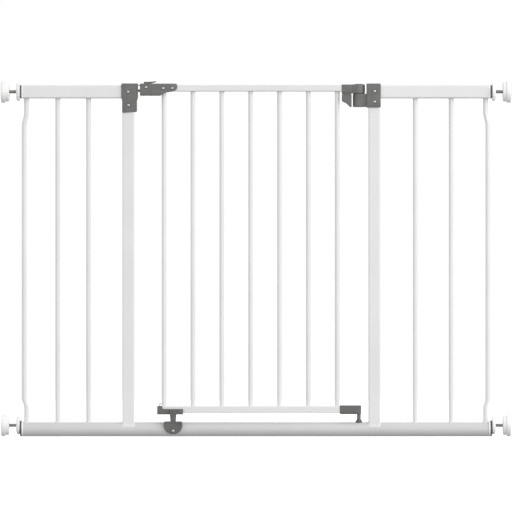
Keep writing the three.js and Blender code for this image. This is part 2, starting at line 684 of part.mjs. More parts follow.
function door() {
  const group = new THREE.Group();
  group.add(doorTopRail());
  group.add(doorBottomRail());
  group.add(doorBars());
  group.add(doorHingeKnuckle());
  group.add(lowerPivotBlock());
  group.add(lowerPivotPin());
  group.add(latchCover('latch_cover_front', -1));
  group.add(latchCover('latch_cover_back', 1));
  group.add(rivetAt('lever_pivot_rivet', LEVER_PIVOT.x, LEVER_PIVOT.z, LATCH_DEPTH));
  LATCH_RIVETS.forEach(([x, z], i) => group.add(rivetAt(`latch_rivet_${i + 1}`, x, z, LATCH_DEPTH)));
  group.add(thumbLever());
  group.add(latchBolt());
  group.add(latchSpring());
  group.add(stopBracket());
  group.add(stopRivet());
  group.add(stopBumper());
  return group;
}

const gate = new THREE.Group();
gate.name = 'safety_gate';
gate.add(frame());
gate.add(door());
for (const level of ['upper', 'lower']) {
  gate.add(pressureBolt(level, -1));
  gate.add(pressureBolt(level, 1));
}

export default gate;
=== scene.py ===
"""Pressure-fit safety gate: finished surfaces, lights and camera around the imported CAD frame.

Geometry is worked out in millimetres and scaled to metres when a piece is placed.
X runs across the doorway, Y away from the viewer and Z up from the floor.
"""

import json
import math

import bmesh
import bpy
from mathutils import Matrix, Vector, noise


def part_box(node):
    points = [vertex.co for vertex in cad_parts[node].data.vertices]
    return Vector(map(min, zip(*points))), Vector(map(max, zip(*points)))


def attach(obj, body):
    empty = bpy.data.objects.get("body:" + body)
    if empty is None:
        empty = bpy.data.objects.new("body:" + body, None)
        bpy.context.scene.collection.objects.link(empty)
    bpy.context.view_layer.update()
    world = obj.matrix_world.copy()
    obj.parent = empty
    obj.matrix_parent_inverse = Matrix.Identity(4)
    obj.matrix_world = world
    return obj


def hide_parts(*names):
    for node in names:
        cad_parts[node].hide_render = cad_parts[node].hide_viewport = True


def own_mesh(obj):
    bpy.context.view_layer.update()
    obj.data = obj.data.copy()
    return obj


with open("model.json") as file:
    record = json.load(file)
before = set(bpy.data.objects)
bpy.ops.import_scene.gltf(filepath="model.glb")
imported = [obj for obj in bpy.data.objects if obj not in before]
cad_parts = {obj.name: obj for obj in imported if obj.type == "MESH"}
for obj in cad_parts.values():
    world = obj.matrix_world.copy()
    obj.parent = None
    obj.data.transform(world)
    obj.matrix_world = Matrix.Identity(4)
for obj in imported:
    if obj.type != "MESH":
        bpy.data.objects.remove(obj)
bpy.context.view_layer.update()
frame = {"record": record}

MM = 0.001
FULL_TURN = 2 * math.pi
BODY_OF = {
    node: body for body, nodes in frame["record"]["behaviour"]["bodies"].items() for node in nodes
}


# ---------------------------------------------------------------- sizes read from the frame

def extent(node):
    """Lowest and highest corner of a CAD node, in millimetres."""
    low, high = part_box(node)
    return low / MM, high / MM


def middle(node):
    low, high = extent(node)
    return (low + high) / 2


TUBE_LOW, TUBE_HIGH = extent("bottom_tube")
TUBE_RADIUS = (TUBE_HIGH.z - TUBE_LOW.z) / 2
WALL = 1.5                      # sheet thickness of tube, posts and rails
BAR_RADIUS = (extent("left_bar_1")[1].x - extent("left_bar_1")[0].x) / 2
BAR_WALL = 1.0
RAIL_LOW, RAIL_HIGH = extent("left_top_rail")
RAIL_CORNER = 3.0
POST_CORNER = 2.5
DOOR_CORNER = 2.0
CUT_END = 0.4                   # how far in from a sawn end the tube's rounding starts
ROD_BORE = 4.4                  # radius of the ways that the pressure rods run in
ROD_BORE_END = 560              # past the wall, so that a way runs right through
HINGE_X = middle("upper_hinge_pin").x
CORNERS = [(level, side) for level in ("upper", "lower") for side in ("left", "right")]


# ---------------------------------------------------------------- mesh helpers

def to_object(name, bm):
    bmesh.ops.recalc_face_normals(bm, faces=bm.faces)
    mesh = bpy.data.meshes.new(name)
    bm.to_mesh(mesh)
    bm.free()
    obj = bpy.data.objects.new(name, mesh)
    bpy.context.scene.collection.objects.link(obj)
    return obj


def skin(bm, rings, loop=False):
    """Quads between successive rings of points. The ends are capped, or joined for a loop."""
    made = [[bm.verts.new(point) for point in ring] for ring in rings]
    following = made[1:] + made[:1] if loop else made[1:]
    for first, second in zip(made, following):
        count = len(first)
        for i in range(count):
            j = (i + 1) % count
            bm.faces.new((first[i], first[j], second[j], second[i]))
    if not loop:
        bm.faces.new(made[0][::-1])
        bm.faces.new(made[-1])


def rounded(points, steps=4):
    """A closed outline of (x, z) or (x, z, corner radius) with its corners turned into curves."""
    result = []
    count = len(points)
    for i, (x, z, *radius) in enumerate(points):
        here = Vector((x, z))
        if not radius or radius[0] == 0:
            result.append(here)
            continue
        before = Vector(points[i - 1][:2]) - here
        after = Vector(points[(i + 1) % count][:2]) - here
        reach = min(radius[0] / math.tan(before.angle(after) / 2),
                    before.length * 0.48, after.length * 0.48)
        start = here + before.normalized() * reach
        end = here + after.normalized() * reach
        for k in range(steps + 1):
            t = k / steps
            result.append(start * (1 - t) ** 2 + here * 2 * t * (1 - t) + end * t * t)
    return result


def inset(points, distance):
    """The outline moved inwards by `distance`. A corner's radius shrinks, or grows if it is hollow."""
    count = len(points)
    corners = [Vector(point[:2]) for point in points]
    area = sum(corners[i].cross(corners[(i + 1) % count]) for i in range(count))
    turn = 1 if area > 0 else -1
    result = []
    for i, here in enumerate(corners):
        before = (here - corners[i - 1]).normalized()
        after = (corners[(i + 1) % count] - here).normalized()
        normals = [Vector((-side.y, side.x)) * turn for side in (before, after)]
        shared = max(1 + normals[0].dot(normals[1]), 0.3)
        moved = here + (normals[0] + normals[1]) / shared * distance
        radius = points[i][2] if len(points[i]) > 2 else 0
        if radius:
            bulges = before.cross(after) * turn > 0
            radius = max(radius - distance, 0.05) if bulges else radius + distance
        result.append((moved.x, moved.y, radius))
    return result


def slab(name, points, span, edges, axis="Y", steps=3):
    """A plate from an outline, with its two rims rounded to the radii in `edges`."""
    profile = []
    for k in range(steps + 1):
        angle = math.pi / 2 * k / steps
        profile.append((span[0] + edges[0] * (1 - math.cos(angle)), edges[0] * (1 - math.sin(angle))))
    for k in range(steps + 1):
        angle = math.pi / 2 * (1 - k / steps)
        profile.append((span[1] - edges[1] * (1 - math.cos(angle)), edges[1] * (1 - math.sin(angle))))
    rings = []
    for depth, pull in profile:
        ring = rounded(inset(points, pull))
        if axis == "Y":
            rings.append([(p.x, depth, p.y) for p in ring])
        else:
            rings.append([(p.x, p.y, depth) for p in ring])
    bm = bmesh.new()
    skin(bm, rings)
    return to_object(name, bm)


def block(low, high, edge=0.0, name="block"):
    """A box between two corners, its upright edges and rims rounded by `edge`."""
    corner = max(edge, 0.0)
    points = [(low[0], low[2], corner), (high[0], low[2], corner),
              (high[0], high[2], corner), (low[0], high[2], corner)]
    if edge == 0:
        points = [point[:2] for point in points]
        bm = bmesh.new()
        skin(bm, [[(x, y, z) for x, z in points] for y in (low[1], high[1])])
        return to_object(name, bm)
    return slab(name, points, (low[1], high[1]), (edge, edge))


def turned(name, profile, centre, axis="X", out=1, steps=64, wave=None):
    """A lathed shape from (radius, distance along the axis).

    A profile that ends on the axis is closed there, and any other is a closed loop.
    `wave` changes a radius by its angle.
    """
    def place(radius, along, angle):
        if wave:
            radius = wave(radius, angle)
        a, b = radius * math.cos(angle), radius * math.sin(angle)
        local = {"X": (along * out, a, b), "Y": (a, along * out, b), "Z": (a, b, along)}[axis]
        return Vector(centre) + Vector(local)

    bm = bmesh.new()
    rings = []
    for radius, along in profile:
        if radius == 0:
            rings.append([bm.verts.new(place(0, along, 0))])
        else:
            rings.append([bm.verts.new(place(radius, along, FULL_TURN * i / steps)) for i in range(steps)])
    open_ended = profile[0][0] == 0 or profile[-1][0] == 0
    following = rings[1:] if open_ended else rings[1:] + rings[:1]
    for first, second in zip(rings, following):
        for i in range(steps):
            j = (i + 1) % steps
            corners = []
            for ring, index in ((first, i), (first, j), (second, j), (second, i)):
                vertex = ring[index] if len(ring) > 1 else ring[0]
                if vertex not in corners:
                    corners.append(vertex)
            if len(corners) > 2:
                bm.faces.new(corners)
    return to_object(name, bm)


def apply_modifiers(obj):
    evaluated = obj.evaluated_get(bpy.context.evaluated_depsgraph_get())
    mesh = bpy.data.meshes.new_from_object(evaluated)
    obj.modifiers.clear()
    old = obj.data
    obj.data = mesh
    bpy.data.meshes.remove(old)


def combine(obj, tools, operation):
    """Joins shapes to a shape, or cuts them from it, and removes them."""
    for tool in tools:
        modifier = obj.modifiers.new("combine", "BOOLEAN")
        modifier.operation = operation
        modifier.solver = "EXACT"
        modifier.object = tool
        apply_modifiers(obj)
        bpy.data.objects.remove(tool)
    return obj


def cut(obj, *tools):
    return combine(obj, tools, "DIFFERENCE")


def join(obj, *tools):
    return combine(obj, tools, "UNION")


def drill(x, z, radius, span=(-40, 40), steps=32):
    return turned("drill", [(0, span[0]), (radius, span[0]), (radius, span[1]), (0, span[1])],
                  (x, 0, z), "Y", steps=steps)


def place(obj, material, nodes, slot, body=None, sharp=35):
    """Scales a finished piece to metres, gives it its material and its body, and hides its CAD nodes; `slot`
    is not used.
    """
    obj.data.transform(Matrix.Scale(MM, 4))
    obj.data.materials.clear()
    obj.data.materials.append(material)
    obj.data.shade_smooth()
    obj.data.set_sharp_from_angle(angle=math.radians(sharp))
    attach(obj, body or BODY_OF[nodes[0]])
    if nodes:
        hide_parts(*nodes)
    return obj


# ---------------------------------------------------------------- materials

class Nodes:
    """A material's node tree, with short calls for the nodes that the finishes share."""

    def __init__(self, name):
        self.material = bpy.data.materials.new(name)
        self.material.use_nodes = True
        self.tree = self.material.node_tree
        self.shader = self.tree.nodes["Principled BSDF"]
        coordinates = self.tree.nodes.new("ShaderNodeTexCoord")
        self.place = coordinates.outputs["Object"]

    def link(self, output, socket):
        self.tree.links.new(output, socket)

    def noise(self, scale, detail=3.0, stretch=None):
        node = self.tree.nodes.new("ShaderNodeTexNoise")
        node.inputs["Scale"].default_value = scale
        node.inputs["Detail"].default_value = detail
        if stretch:
            mapping = self.tree.nodes.new("ShaderNodeMapping")
            mapping.inputs["Scale"].default_value = stretch
            self.link(self.place, mapping.inputs["Vector"])
            self.link(mapping.outputs["Vector"], node.inputs["Vector"])
        else:
            self.link(self.place, node.inputs["Vector"])
        return node.outputs["Fac"]

    def ramp(self, value, stops):
        """A colour ramp through (position, colour) stops; a grey may be one number."""
        node = self.tree.nodes.new("ShaderNodeValToRGB")
        elements = node.color_ramp.elements
        while len(elements) < len(stops):
            elements.new(0.5)
        for element, (position, colour) in zip(elements, stops):
            element.position = position
            rgb = (colour,) * 3 if isinstance(colour, float) else colour
            element.color = (*rgb, 1)
        self.link(value, node.inputs["Fac"])
        return node.outputs["Color"]

    def mix(self, factor, first, second):
        node = self.tree.nodes.new("ShaderNodeMix")
        node.data_type = "RGBA"
        self.link(factor, node.inputs["Factor"])
        self.link(first, node.inputs[6])
        self.link(second, node.inputs[7])
        return node.outputs[2]

    def bump(self, height, distance, strength=1.0, base=None):
        node = self.tree.nodes.new("ShaderNodeBump")
        node.inputs["Distance"].default_value = distance
        node.inputs["Strength"].default_value = strength
        self.link(height, node.inputs["Height"])
        if base:
            self.link(base, node.inputs["Normal"])
        return node.outputs["Normal"]

    def set(self, **values):
        for name, value in values.items():
            self.shader.inputs[name.replace("_", " ")].default_value = value

    def finish(self, colour, roughness, normal):
        self.link(colour, self.shader.inputs["Base Color"])
        self.link(roughness, self.shader.inputs["Roughness"])
        self.link(normal, self.shader.inputs["Normal"])
        return self.material


def powder_coat(name, shade=0.80, ripple=0.0):
    """Satin white powder coat on steel: orange peel, faint cloudiness, and weld ripples if asked."""
    n = Nodes(name)
    clouds = n.noise(9, 2)
    peel = n.noise(900, 2)
    pits = n.noise(2600, 1)
    colour = n.ramp(clouds, [(0.35, shade - 0.018), (0.65, shade + 0.014)])
    roughness = n.ramp(peel, [(0.3, 0.32), (0.7, 0.44)])
    normal = n.bump(peel, 0.00012, 0.35)
    normal = n.bump(pits, 0.00004, 0.25, normal)
    if ripple:
        normal = n.bump(n.noise(700, 3), 0.0006, ripple, normal)
    n.set(Coat_Weight=0.12, Coat_Roughness=0.25)
    return n.finish(colour, roughness, normal)


def moulded_plastic(name, dark, light, rough, grain=1500, depth=0.00008):
    """Moulded plastic: fine spark-eroded grain, soft mottling and slight rubbing marks."""
    n = Nodes(name)
    fine = n.noise(grain, 2)
    mottle = n.noise(60, 4)
    rubbed = n.noise(180, 5, (1, 1, 0.15))
    base = n.ramp(mottle, [(0.35, dark), (0.65, light)])
    bright = tuple(min(1.0, channel * 1.18) for channel in light)
    scuffed = n.ramp(mottle, [(0.3, light), (0.7, bright)])
    amount = n.ramp(rubbed, [(0.60, 0.0), (0.74, 0.45)])
    colour = n.mix(amount, base, scuffed)
    roughness = n.ramp(fine, [(0.3, rough - 0.06), (0.7, rough + 0.08)])
    return n.finish(colour, roughness, n.bump(fine, depth, 0.5))


def plated_steel(name, dark, light):
    """Plated steel: bright patches over darker ones, drawn lines along X and a fine grain."""
    n = Nodes(name)
    drawn = n.noise(1400, 3, (0.05, 1, 1))
    patches = n.noise(260, 4)
    colour = n.ramp(patches, [(0.35, dark), (0.65, light)])
    roughness = n.ramp(drawn, [(0.3, 0.24), (0.7, 0.40)])
    n.set(Metallic=1.0)
    return n.finish(colour, roughness, n.bump(drawn, 0.00004, 0.4))


def rubber():
    n = Nodes("rubber_finish")
    dust = n.noise(220, 4)
    grain = n.noise(1900, 2)
    colour = n.ramp(dust, [(0.4, (0.020, 0.020, 0.021)), (0.7, (0.050, 0.049, 0.047))])
    roughness = n.ramp(grain, [(0.3, 0.72), (0.7, 0.88)])
    return n.finish(colour, roughness, n.bump(grain, 0.0001, 0.6))


def floor_finish():
    n = Nodes("floor_finish")
    n.set(Emission_Color=(1, 1, 1, 1), Emission_Strength=0.45)
    colour = n.ramp(n.noise(3, 2), [(0.3, 0.93), (0.7, 0.95)])
    roughness = n.ramp(n.noise(40, 2), [(0.3, 0.80), (0.7, 0.86)])
    return n.finish(colour, roughness, n.bump(n.noise(90, 2), 0.0002, 0.2))


PAINT = powder_coat("white_powder_coat")
# The bottom tube has the same white powder coat as the rest; its greyer 0.63 is painted shade for the tube
# low down.
SHADED_TUBE_PAINT = powder_coat("tube_coat_painted_shade", 0.63)
WELD_PAINT = powder_coat("painted_weld", 0.78, 0.6)
GREY = moulded_plastic("grey_nylon", (0.137, 0.137, 0.134), (0.166, 0.166, 0.162), 0.50)
# A darker copy of the grey nylon for the pieces low on the gate (pivot block, bush, stop): painted shade,
# the same nylon as the upper mouldings.
SHADED_GREY_NYLON = moulded_plastic("grey_nylon_painted_shade", (0.112, 0.112, 0.108), (0.136, 0.136, 0.130), 0.50)
# Dark nylon for the hinge washer. The lower plugs' tongue and collar also take it where the upper plugs have
# grey: painted shade for the lower level.
DARK = moulded_plastic("dark_nylon_and_painted_shade", (0.085, 0.085, 0.084), (0.110, 0.110, 0.108), 0.52)
IVORY = moulded_plastic("white_moulding", (0.90, 0.90, 0.89), (0.94, 0.94, 0.93), 0.30, 1200, 0.00003)
STEEL = plated_steel("bright_zinc", (0.40, 0.41, 0.42), (0.58, 0.58, 0.57))
DARK_STEEL = plated_steel("dull_zinc", (0.13, 0.13, 0.13), (0.22, 0.22, 0.215))
RUBBER = rubber()


# ---------------------------------------------------------------- tubes, rails, posts and bars

def rect_section(width, depth, corner, arc=6, side=10):
    """Points round a rounded rectangle, with each side divided so that it can follow a curve."""
    points = []
    w, d = width / 2 - corner, depth / 2 - corner
    centres = [(w, d), (-w, d), (-w, -d), (w, -d)]
    for quarter, (cx, cy) in enumerate(centres):
        for k in range(arc + 1):
            angle = math.pi / 2 * (quarter + k / arc)
            points.append(Vector((cx + corner * math.cos(angle), cy + corner * math.sin(angle))))
        nx, ny = centres[(quarter + 1) % 4]
        start = points[-1]
        angle = math.pi / 2 * (quarter + 1)
        end = Vector((nx + corner * math.cos(angle), ny + corner * math.sin(angle)))
        points.extend(start.lerp(end, k / side) for k in range(1, side))
    return points


def circle_section(radius, steps=40):
    return [Vector((radius * math.cos(FULL_TURN * i / steps), radius * math.sin(FULL_TURN * i / steps)))
            for i in range(steps)]


def saddle(y, gap=0.1):
    """Height of the bottom tube's upper surface at depth y."""
    reach = (TUBE_RADIUS + gap) ** 2 - y * y
    return TUBE_RADIUS + math.sqrt(max(reach, 0))


def hollow(name, outer, inner, stations, rim=0.35):
    """A tube: `stations` are functions that put a section point in place, one for each step.

    The two end rims are rounded over by `rim`.
    """
    def lifted(section, other, share):
        return [p.lerp(q, share) for p, q in zip(section, other)]

    bm = bmesh.new()
    wall = (outer[0] - inner[0]).length
    share = rim / wall
    rings = [[stations[0](p) for p in lifted(outer, inner, share)]]
    rings += [[station(p) for p in outer] for station in stations]
    rings += [[stations[-1](p) for p in lifted(outer, inner, share)]]
    rings += [[station(p) for p in inner] for station in reversed(stations)]
    skin(bm, rings, loop=True)
    return to_object(name, bm)


def along_x(x, z):
    return lambda p: (x, p.x, z + p.y)


def along_z(centre_x, z):
    return lambda p: (centre_x + p.x, p.y, z)


def on_tube(centre_x):
    return lambda p: (centre_x + p.x, p.y, saddle(p.y))


def bottom_tube():
    ends = (TUBE_LOW.x, TUBE_LOW.x + CUT_END, 0, TUBE_HIGH.x - CUT_END, TUBE_HIGH.x)
    obj = hollow("bottom_tube_fine", circle_section(TUBE_RADIUS, 96), circle_section(TUBE_RADIUS - WALL, 96),
                 [along_x(x, TUBE_RADIUS) for x in ends])
    bush_hole = 5.4
    cut(obj, upright_way(HINGE_X, bush_hole, 20, 40))
    # The greyer coat on the tube is painted shade.
    place(obj, SHADED_TUBE_PAINT, ["bottom_tube"], "white_paint")


def rail(node, corner):
    low, high = extent(node)
    size = high - low
    section = rect_section(size.y, size.z, corner)
    inside = rect_section(size.y - 2 * WALL, size.z - 2 * WALL, corner - WALL)
    height = (low.z + high.z) / 2
    stations = [along_x(x, height) for x in (low.x, low.x + CUT_END, high.x - CUT_END, high.x)]
    place(hollow(f"{node}_fine", section, inside, stations), PAINT, [node], "white_paint")


def post(node):
    low, high = extent(node)
    width = high.x - low.x
    centre = (low.x + high.x) / 2
    section = rect_section(width, width, POST_CORNER)
    inside = rect_section(width - 2 * WALL, width - 2 * WALL, POST_CORNER - WALL)
    above_saddle = 60
    stations = [on_tube(centre)]
    stations += [along_z(centre, z) for z in (above_saddle, high.z - CUT_END, high.z)]
    place(hollow(f"{node}_fine", section, inside, stations), PAINT, [node], "white_paint")


def straight_bar(node, from_tube):
    low, high = extent(node)
    centre = (low.x + high.x) / 2
    start = on_tube(centre) if from_tube else along_z(centre, low.z)
    obj = hollow(f"{node}_fine", circle_section(BAR_RADIUS), circle_section(BAR_RADIUS - BAR_WALL),
                 [start, along_z(centre, low.z + 20), along_z(centre, high.z)])
    place(obj, PAINT, [node], "white_paint")


SIDE_TOP_BEND = (658, 687)
SIDE_BOTTOM_BEND = (61, 81)


def side_bar(node, out):
    """The outermost bar, which steps outwards between its two ends."""
    low, high = extent(node)
    outer_edge = max(abs(low.x), abs(high.x))
    inner_edge = min(abs(low.x), abs(high.x))
    main = outer_edge - BAR_RADIUS
    end = inner_edge + BAR_RADIUS
    steps = 14

    def offset(z):
        for (start, stop), first, last in ((SIDE_BOTTOM_BEND, end, main), (SIDE_TOP_BEND, main, end)):
            if z < start:
                return first
            if z <= stop:
                t = (z - start) / (stop - start)
                return first + (last - first) * t * t * (3 - 2 * t)
        return end

    heights = [40]
    for start, stop in (SIDE_BOTTOM_BEND, SIDE_TOP_BEND):
        heights += [start + (stop - start) * k / steps for k in range(steps + 1)]
    heights += [700, high.z]
    stations = [on_tube(out * end)]
    stations += [along_z(out * offset(z), z) for z in heights]
    obj = hollow(f"{node}_fine", circle_section(BAR_RADIUS), circle_section(BAR_RADIUS - BAR_WALL), stations)
    place(obj, PAINT, [node], "white_paint")


# ---------------------------------------------------------------- welds

def bead(bm, section, put, size, seed):
    """A weld bead round a section: `put` places a point that is `out` of it and `up` the bar."""
    count = len(section)
    outlines = []
    for i, here in enumerate(section):
        before, after = section[i - 1], section[(i + 1) % count]
        normal = Vector((after.y - before.y, before.x - after.x)).normalized()
        swell = 1 + 0.16 * noise.noise(Vector((here.x * 0.9, here.y * 0.9, seed)))
        ring = []
        for k in range(6):
            angle = math.pi / 2 * k / 5
            out = size * swell * math.cos(angle)
            up = size * swell * math.sin(angle)
            ring.append(put(here + normal * out, up))
        ring.append(put(here - normal * 0.3, size * swell))
        ring.append(put(here - normal * 0.3, -0.3))
        ring.append(put(here + normal * size * swell, -0.3))
        outlines.append(ring)
    skin(bm, outlines, loop=True)


def welds(name, body, beads):
    bm = bmesh.new()
    for seed, (section, put, size) in enumerate(beads):
        bead(bm, section, put, size, seed * 3.7)
    place(to_object(name, bm), WELD_PAINT, [], "white_paint", body, 50)


def bead_on_tube(centre_x):
    return lambda p, up: (centre_x + p.x, p.y, saddle(p.y) + up)


def bead_on_flat(centre_x, z, direction):
    return lambda p, up: (centre_x + p.x, p.y, z + up * direction)


def all_welds():
    bar_bead, post_bead, door_bead = 1.3, 1.6, 1.2
    ring = circle_section(BAR_RADIUS, 28)
    frame_beads = []
    for node in ("left_bar_1", "left_bar_2", "right_bar_1", "right_bar_2"):
        centre = middle(node).x
        frame_beads.append((ring, bead_on_tube(centre), bar_bead))
        frame_beads.append((ring, bead_on_flat(centre, RAIL_LOW.z, -1), bar_bead))
    for node, out in (("left_side_bar", -1), ("right_side_bar", 1)):
        low, high = extent(node)
        centre = out * (min(abs(low.x), abs(high.x)) + BAR_RADIUS)
        frame_beads.append((ring, bead_on_tube(centre), bar_bead))
        frame_beads.append((ring, bead_on_flat(centre, RAIL_LOW.z, -1), bar_bead))
    for node in ("latch_post", "hinge_post"):
        low, high = extent(node)
        width = high.x - low.x
        section = rect_section(width, width, POST_CORNER, 4, 6)
        frame_beads.append((section, bead_on_tube(middle(node).x), post_bead))
    welds("frame_welds", "frame", frame_beads)
    door_beads = []
    upper, lower = extent("door_top_rail")[0].z, extent("door_bottom_rail")[1].z
    for i in range(1, 8):
        centre = middle(f"door_bar_{i}").x
        door_beads.append((ring, bead_on_flat(centre, lower, 1), door_bead))
        if i > 1:
            door_beads.append((ring, bead_on_flat(centre, upper, -1), door_bead))
    welds("door_welds", "door", door_beads)


# ---------------------------------------------------------------- pressure bolts

def rod_height(level):
    return middle(f"{level}_left_threaded_rod").z


def threaded_rod(level, side):
    """An M8 rod with a real helical thread and a chamfered end."""
    node = f"{level}_{side}_threaded_rod"
    low, high = extent(node)
    out = -1 if side == "left" else 1
    start, stop = sorted((abs(low.x), abs(high.x)))
    crest = (high.z - low.z) / 2
    pitch, depth, round_steps, pitch_steps = 1.25, 0.72, 24, 6
    rings = []
    count = int((stop - start) / pitch * pitch_steps)
    for k in range(count + 1):
        x = start + (stop - start) * k / count
        chamfer = max(0.0, 1.0 - min(x - start, stop - x))
        ring = []
        for i in range(round_steps):
            phase = (x / pitch - i / round_steps) % 1
            groove = min(1.0, max(0.0, 1.3 * (1 - abs(2 * phase - 1)) - 0.15))
            radius = crest - depth * groove - 0.6 * chamfer
            angle = FULL_TURN * i / round_steps
            ring.append((out * x, radius * math.cos(angle), rod_height(level) + radius * math.sin(angle)))
        rings.append(ring)
    bm = bmesh.new()
    skin(bm, rings)
    place(to_object(f"{node}_fine", bm), STEEL, [node], "steel", sharp=60)


def adjuster_wheel(level, side):
    """The white hand wheel: a scalloped grip that tapers towards the pad, with a hub and a recess."""
    node = f"{level}_{side}_adjuster_wheel"
    low, high = extent(node)
    radius = (high.z - low.z) / 2
    inner, outer = sorted((abs(low.x), abs(high.x)))
    bore, scallops = ROD_BORE, 18
    profile = [
        (bore, inner), (radius - 2.6, inner), (radius - 1.2, inner + 0.3), (radius - 0.3, inner + 1.0),
        (radius, inner + 1.9), (radius, inner + 3.6), (radius - 0.5, inner + 4.6),
        (radius - 1.6, outer - 1.5), (radius - 3.0, outer - 0.5), (radius - 4.6, outer),
        (12.6, outer), (12.0, outer - 0.6), (12.0, outer - 1.6), (8.2, outer - 1.6), (7.6, outer - 0.6),
        (7.0, outer - 0.1), (bore, outer),
    ]

    def wave(r, angle):
        share = max(0.0, (r - 14.5) / (radius - 14.5))
        return r - 0.85 * share * (0.5 + 0.5 * math.cos(scallops * angle)) ** 3

    obj = turned(f"{node}_fine", profile, (0, 0, rod_height(level)), "X",
                 -1 if side == "left" else 1, 144, wave)
    place(obj, IVORY, [node], "white_plastic", sharp=40)


def wall_pad(level, side):
    """A two-step pad with a ribbed shoulder, and a rubber grip disc let into its wall face."""
    node = f"{level}_{side}_wall_pad"
    low, high = extent(node)
    out = -1 if side == "left" else 1
    radius = (high.z - low.z) / 2
    inner, face = sorted((abs(low.x), abs(high.x)))
    bore, step, seat = ROD_BORE, 20.7, radius - 2.0
    centre = (0, 0, rod_height(level))
    profile = [
        (bore, inner + 0.6), (bore + 0.6, inner), (8.4, inner), (9.0, inner + 0.7), (11.0, inner + 0.7),
        (11.6, inner), (step - 3.4, inner), (step - 1.8, inner + 0.3), (step - 0.5, inner + 1.2),
        (step, inner + 2.4), (step, inner + 6.4), (step - 0.5, inner + 6.9), (step - 0.5, inner + 7.5),
        (step + 0.2, inner + 7.9), (radius - 1.1, inner + 8.1), (radius - 0.3, inner + 8.5),
        (radius, inner + 9.4), (radius, face - 1.5), (radius - 0.3, face - 0.7), (radius - 1.0, face - 0.3),
        (seat, face - 0.3), (seat, face - 2.4), (bore, face - 2.4),
    ]
    obj = turned(f"{node}_fine", profile, centre, "X", out, 96)
    place(obj, IVORY, [node], "white_plastic", sharp=40)
    grip = [(0, face - 2.4), (seat - 0.1, face - 2.4), (seat - 0.1, face - 0.5), (seat - 0.6, face)]
    for ring in (17.5, 14.5, 11.5, 8.5, 5.5):
        grip += [(ring + 0.7, face), (ring + 0.4, face - 0.7), (ring - 0.4, face - 0.7), (ring - 0.7, face)]
    grip.append((0, face))
    disc = turned(f"{level}_{side}_pad_grip", grip, centre, "X", out, 96)
    place(disc, RUBBER, [node], "rubber")


def upright_way(x, radius, low, high):
    """A round tool along Z, for a pin or a bar."""
    return turned("way", [(0, low), (radius, low), (radius, high), (0, high)], (x, 0, 0), "Z", steps=48)


def way(start, stop, radius, height, out, steps):
    """A round tool along X, to clear a way for a rod or a tongue."""
    profile = [(0, start), (radius, start), (radius, stop), (0, stop)]
    return turned("way", profile, (0, 0, height), "X", out, steps)


def round_plug(node, flange_name, out, start, collar, split):
    """The lower plug, for the round tube: its tongue and collar, its flange, and the tongue's way."""
    rim, tongue_radius, steps = 16.8, 13.1, 72
    tube_end = TUBE_HIGH.x
    rim_z = extent(node)[1].z - rim
    tongue = turned(f"{node}_fine", [
        (0, start), (tongue_radius - 0.7, start), (tongue_radius, start + 1), (tongue_radius, split + 1),
        (0, split + 1)], (0, 0, TUBE_RADIUS), "X", out, steps)
    join(tongue, turned("collar", [
        (0, split), (rim - 0.9, split), (rim, split + 0.5), (rim, collar - 0.7), (rim - 0.8, collar),
        (0, collar)], (0, 0, rim_z), "X", out, steps))
    flange = turned(flange_name, [
        (0, tube_end), (rim - 0.9, tube_end), (rim, tube_end + 0.5), (rim, split - 0.4),
        (rim - 0.4, split), (0, split)], (0, 0, rim_z), "X", out, steps)
    return tongue, flange, way(start - 9, split + 1, tongue_radius + 0.2, TUBE_RADIUS, out, steps)


def square_plug(node, flange_name, out, start, collar, split):
    """The upper plug, for the rectangular rail, in the same three pieces."""
    tube_end = TUBE_HIGH.x
    height = rod_height("upper")
    size = RAIL_HIGH - RAIL_LOW
    section = rect_section(size.y, size.z, RAIL_CORNER, 6, 2)
    inside = rect_section(size.y - 2 * WALL - 0.8, size.z - 2 * WALL - 0.8, 1.4, 6, 2)

    def bar(name, stations):
        bm = bmesh.new()
        skin(bm, [[(out * x, p.x, height + p.y) for p in points] for x, points in stations])
        return to_object(name, bm)

    def narrow(points, share):
        return [p * share for p in points]

    tongue = bar(f"{node}_fine", [
        (start, narrow(inside, 0.96)), (start + 1, inside), (split, inside), (split, narrow(section, 0.95)),
        (split + 0.5, section), (collar - 0.6, section), (collar, narrow(section, 0.96))])
    flange = bar(flange_name, [
        (tube_end, narrow(section, 0.97)), (tube_end + 0.5, section), (split - 0.4, section),
        (split, narrow(section, 0.97))])
    return tongue, flange, bar("way", [(start - 9, narrow(inside, 1.01)), (split + 1, narrow(inside, 1.01))])


def end_plug(level, side):
    """A dark collar behind a thin white flange, on a tongue that fills the end of the tube. The lower plugs'
    darker nylon is painted shade.
    """
    node = f"{level}_{side}_end_plug"
    low, high = extent(node)
    out = -1 if side == "left" else 1
    start, collar = sorted((abs(low.x), abs(high.x)))
    flange_depth = 3.5
    build = round_plug if level == "lower" else square_plug
    tongue, flange, tongue_way = build(node, f"{level}_{side}_end_flange", out, start, collar,
                                       TUBE_HIGH.x + flange_depth)
    rod = rod_height(level)
    cut(tongue, way(start - 9, ROD_BORE_END, ROD_BORE, rod, out, 40))
    cut(flange, tongue_way, way(start - 9, ROD_BORE_END, ROD_BORE, rod, out, 40))
    # Darker nylon on the lower plugs is painted shade.
    place(tongue, DARK if level == "lower" else GREY, [node], "dark_plastic")
    place(flange, IVORY, [node], "white_plastic")


# ---------------------------------------------------------------- rivets and pins

RIVET_HOLE = 2.3


